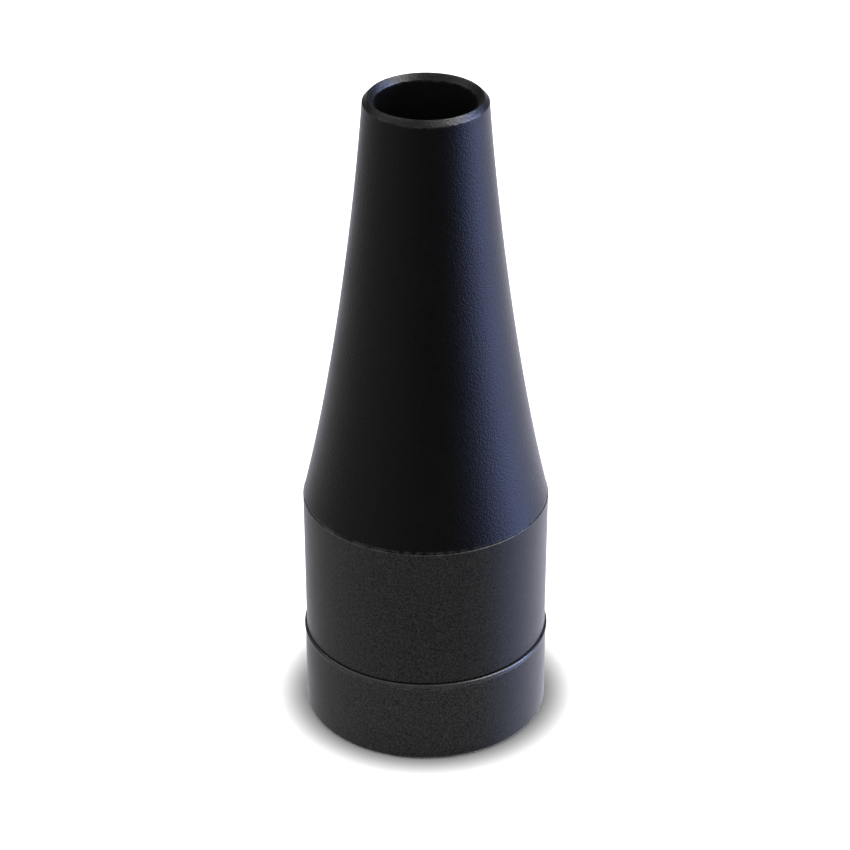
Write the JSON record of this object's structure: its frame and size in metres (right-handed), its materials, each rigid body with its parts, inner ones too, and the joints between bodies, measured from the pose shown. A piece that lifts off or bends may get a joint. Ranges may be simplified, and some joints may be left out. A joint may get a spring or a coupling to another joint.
{
  "type": "dust blower nozzle",
  "caption": "Tapered black air nozzle with a bevelled open mouth, a plain barrel and a twist-lock collar at the base that fits over a blower's outlet tube.",
  "frame": {"origin": "centre of the base rim, in the plane that the nozzle stands on", "axes": "+Z along the nozzle's axis, from the base towards the mouth; +Y through the stop pin"},
  "size_m": [0.0564, 0.0564, 0.1529],
  "materials": {
    "cone_plastic": "black ABS with a fine spark-eroded grain",
    "barrel_plastic": "black ABS, smooth satin",
    "collar_plastic": "black ABS, smooth satin, rubbed at the edges",
    "liner_plastic": "dark grey POM, as moulded",
    "slip_plastic": "white PTFE",
    "bead_rubber": "black nitrile cord ring, glossy",
    "seal_rubber": "black nitrile cord ring",
    "gasket_rubber": "dark grey silicone",
    "screen_steel": "stainless wire",
    "plate_steel": "stamped stainless sheet, brushed",
    "spring_steel": "spring steel, oiled",
    "screw_steel": "stainless"
  },
  "bodies": {
    "nozzle": {"nozzle_cone": "cone_plastic", "skirt_seal": "seal_rubber", "barrel": "barrel_plastic", "socket_sleeve": "liner_plastic", "face_gasket": "gasket_rubber", "inlet_screen": "screen_steel", "duct_liner": "liner_plastic", "snap_ring": "spring_steel", "stop_pin": "spring_steel", "slip_washer": "slip_plastic"},
    "collar": {"bead_ring": "bead_rubber", "base_collar": "collar_plastic", "bayonet_plate": "plate_steel", "plate_screws": "screw_steel"}
  },
  "joints": [
    {"name": "collar_turn", "type": "hinge", "parent": "nozzle", "child": "collar", "pos_m": [0, 0, 0], "axis": [0, 0, 1], "range_deg": [0, 60]}
  ]
}
